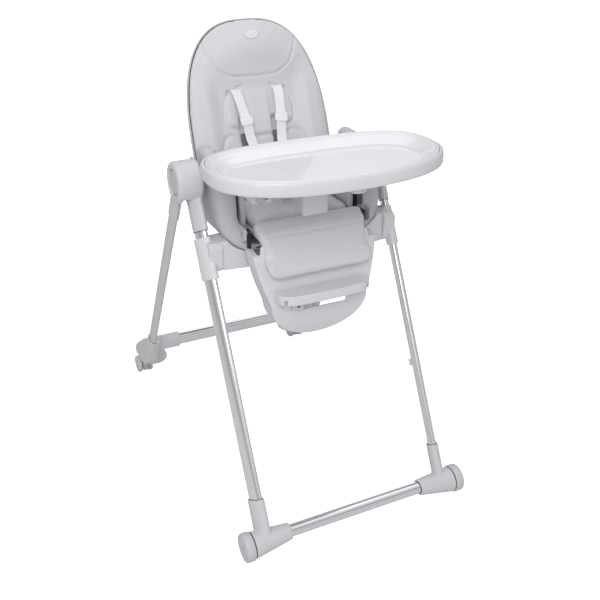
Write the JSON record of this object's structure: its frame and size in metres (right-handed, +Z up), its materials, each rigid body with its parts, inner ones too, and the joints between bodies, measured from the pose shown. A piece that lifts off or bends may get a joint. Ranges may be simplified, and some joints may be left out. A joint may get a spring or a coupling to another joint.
{
  "type": "baby high chair",
  "caption": "Folding baby high chair with padded reclining seat, height slide, tray, leg rest, footrest, harness and castors.",
  "frame": {"origin": "on the floor, in the middle of the chair's width and length", "axes": "+Z up, the child faces -Y, +X across the chair; the chair is the same on both sides of X = 0 apart from the footrest screw tab"},
  "size_m": [0.56, 0.9204, 1.0359],
  "materials": {
    "chrome": "polished oval tube",
    "painted_tube": "satin light grey paint",
    "frame_plastic": "fine satin moulding, light grey",
    "wheel_plastic": "smooth, light grey",
    "castor_plastic": "satin mid grey",
    "button_plastic": "smooth, light grey",
    "slider_plastic": "fine satin moulding",
    "seat_plastic": "fine satin moulding",
    "panel_plastic": "fine satin moulding",
    "tray_plastic": "smooth, light grey",
    "liner_plastic": "glossy, very light grey",
    "badge_plastic": "glossy oval badge, blank",
    "leatherette": "soft fine-grained leatherette",
    "webbing": "woven white webbing",
    "harness_plastic": "white moulding",
    "steel": "zinc-plated"
  },
  "bodies": {
    "front_frame": {"front_leg_left": "chrome", "front_leg_right": "chrome", "front_crossbar": "chrome", "front_foot_left": "frame_plastic", "front_foot_right": "frame_plastic", "front_wheel_axles": "steel", "leg_stops": "frame_plastic", "hub_left": "frame_plastic", "hub_right": "frame_plastic", "hub_axles": "steel", "hub_covers": "frame_plastic"},
    "rear_frame": {"rear_leg_left": "painted_tube", "rear_leg_right": "painted_tube", "rear_knuckle_left": "frame_plastic", "rear_knuckle_right": "frame_plastic", "rear_crossbar": "chrome", "rear_foot_left": "frame_plastic", "rear_foot_right": "frame_plastic", "brake_pins": "steel"},
    "seat": {"slider_left": "slider_plastic", "slider_right": "slider_plastic", "seat_brackets": "slider_plastic", "seat_beam": "steel", "seat_shell": "seat_plastic", "seat_pan": "seat_plastic", "seat_pad": "leatherette", "side_pads": "leatherette", "armrest_left": "seat_plastic", "armrest_right": "seat_plastic", "legrest_pins": "steel", "recline_pins": "steel", "harness_buckle": "harness_plastic", "lap_straps": "webbing"},
    "backrest": {"backrest_shell": "seat_plastic", "backrest_pad": "leatherette", "badge": "badge_plastic", "shoulder_straps": "webbing", "strap_adjusters": "harness_plastic"},
    "recline_handle": {"recline_handle": "button_plastic"},
    "legrest": {"legrest_panel": "panel_plastic", "calf_pad": "leatherette"},
    "footrest": {"footrest": "panel_plastic", "footrest_screw": "steel"},
    "tray": {"tray_base": "tray_plastic", "tray_divider": "tray_plastic"},
    "tray_liner": {"tray_liner": "liner_plastic"},
    "tray_handle": {"tray_handle": "button_plastic"},
    "front_wheel_left": {"front_wheel_left": "wheel_plastic"},
    "castor_left": {"castor_fork_left": "castor_plastic"},
    "castor_wheels_left": {"castor_wheels_left": "wheel_plastic"},
    "brake_pedal_left": {"brake_pedal_left": "button_plastic"},
    "fold_button_left": {"fold_button_left": "button_plastic"},
    "height_button_left": {"height_button_left": "button_plastic"},
    "front_wheel_right": {"front_wheel_right": "wheel_plastic"},
    "castor_right": {"castor_fork_right": "castor_plastic"},
    "castor_wheels_right": {"castor_wheels_right": "wheel_plastic"},
    "brake_pedal_right": {"brake_pedal_right": "button_plastic"},
    "fold_button_right": {"fold_button_right": "button_plastic"},
    "height_button_right": {"height_button_right": "button_plastic"}
  },
  "joints": [
    {"name": "frame_fold", "type": "hinge", "parent": "front_frame", "child": "rear_frame", "pos_m": [0, -0.06471, 0.745], "axis": [-1, 0, 0], "range_deg": [0, 46]},
    {"name": "seat_height", "type": "slide", "parent": "front_frame", "child": "seat", "axis": [0, -0.454, -0.891], "range_m": [0, 0.25]},
    {"name": "backrest_recline", "type": "hinge", "parent": "seat", "child": "backrest", "pos_m": [0, 0.05009, 0.68887], "axis": [-1, 0, 0], "range_deg": [0, 35]},
    {"name": "recline_handle_squeeze", "type": "slide", "parent": "backrest", "child": "recline_handle", "axis": [0, 0.3584, 0.9336], "range_m": [0, 0.008], "stiffness_N_per_m": 400},
    {"name": "legrest_tilt", "type": "hinge", "parent": "seat", "child": "legrest", "pos_m": [0, -0.16975, 0.648], "axis": [-1, 0, 0], "range_deg": [0, 50]},
    {"name": "footrest_height", "type": "slide", "parent": "legrest", "child": "footrest", "axis": [0, 0, -1], "range_m": [0, 0.02]},
    {"name": "tray_depth", "type": "slide", "parent": "seat", "child": "tray", "axis": [0, -1, 0], "range_m": [0, 0.06]},
    {"name": "tray_release", "type": "slide", "parent": "tray", "child": "tray_handle", "axis": [0, -1, 0], "range_m": [0, 0.006], "stiffness_N_per_m": 300},
    {"name": "liner_lift", "type": "slide", "parent": "tray", "child": "tray_liner", "axis": [0, 0, 1], "range_m": [0, 0.05]},
    {"name": "front_wheel_roll_left", "type": "hinge", "parent": "front_frame", "child": "front_wheel_left", "pos_m": [-0.269, -0.42775, 0.0325], "axis": [1, 0, 0], "continuous": true},
    {"name": "castor_swivel_left", "type": "hinge", "parent": "rear_frame", "child": "castor_left", "pos_m": [-0.251, 0.41825, 0.06], "axis": [0, 0, 1], "continuous": true},
    {"name": "castor_roll_left", "type": "hinge", "parent": "castor_left", "child": "castor_wheels_left", "pos_m": [-0.251, 0.43325, 0.025], "axis": [1, 0, 0], "continuous": true},
    {"name": "brake_left", "type": "hinge", "parent": "rear_frame", "child": "brake_pedal_left", "pos_m": [-0.251, 0.43425, 0.086], "axis": [-1, 0, 0], "range_deg": [0, 14]},
    {"name": "fold_button_press_left", "type": "slide", "parent": "front_frame", "child": "fold_button_left", "axis": [1, 0, 0], "range_m": [0, 0.0025], "stiffness_N_per_m": 500},
    {"name": "height_button_press_left", "type": "slide", "parent": "seat", "child": "height_button_left", "axis": [0, -0.891, 0.454], "range_m": [0, 0.0025], "stiffness_N_per_m": 500},
    {"name": "front_wheel_roll_right", "type": "hinge", "parent": "front_frame", "child": "front_wheel_right", "pos_m": [0.269, -0.42775, 0.0325], "axis": [1, 0, 0], "continuous": true},
    {"name": "castor_swivel_right", "type": "hinge", "parent": "rear_frame", "child": "castor_right", "pos_m": [0.251, 0.41825, 0.06], "axis": [0, 0, 1], "continuous": true},
    {"name": "castor_roll_right", "type": "hinge", "parent": "castor_right", "child": "castor_wheels_right", "pos_m": [0.251, 0.43325, 0.025], "axis": [1, 0, 0], "continuous": true},
    {"name": "brake_right", "type": "hinge", "parent": "rear_frame", "child": "brake_pedal_right", "pos_m": [0.251, 0.43425, 0.086], "axis": [-1, 0, 0], "range_deg": [0, 14]},
    {"name": "fold_button_press_right", "type": "slide", "parent": "front_frame", "child": "fold_button_right", "axis": [-1, 0, 0], "range_m": [0, 0.0025], "stiffness_N_per_m": 500},
    {"name": "height_button_press_right", "type": "slide", "parent": "seat", "child": "height_button_right", "axis": [0, -0.891, 0.454], "range_m": [0, 0.0025], "stiffness_N_per_m": 500}
  ]
}
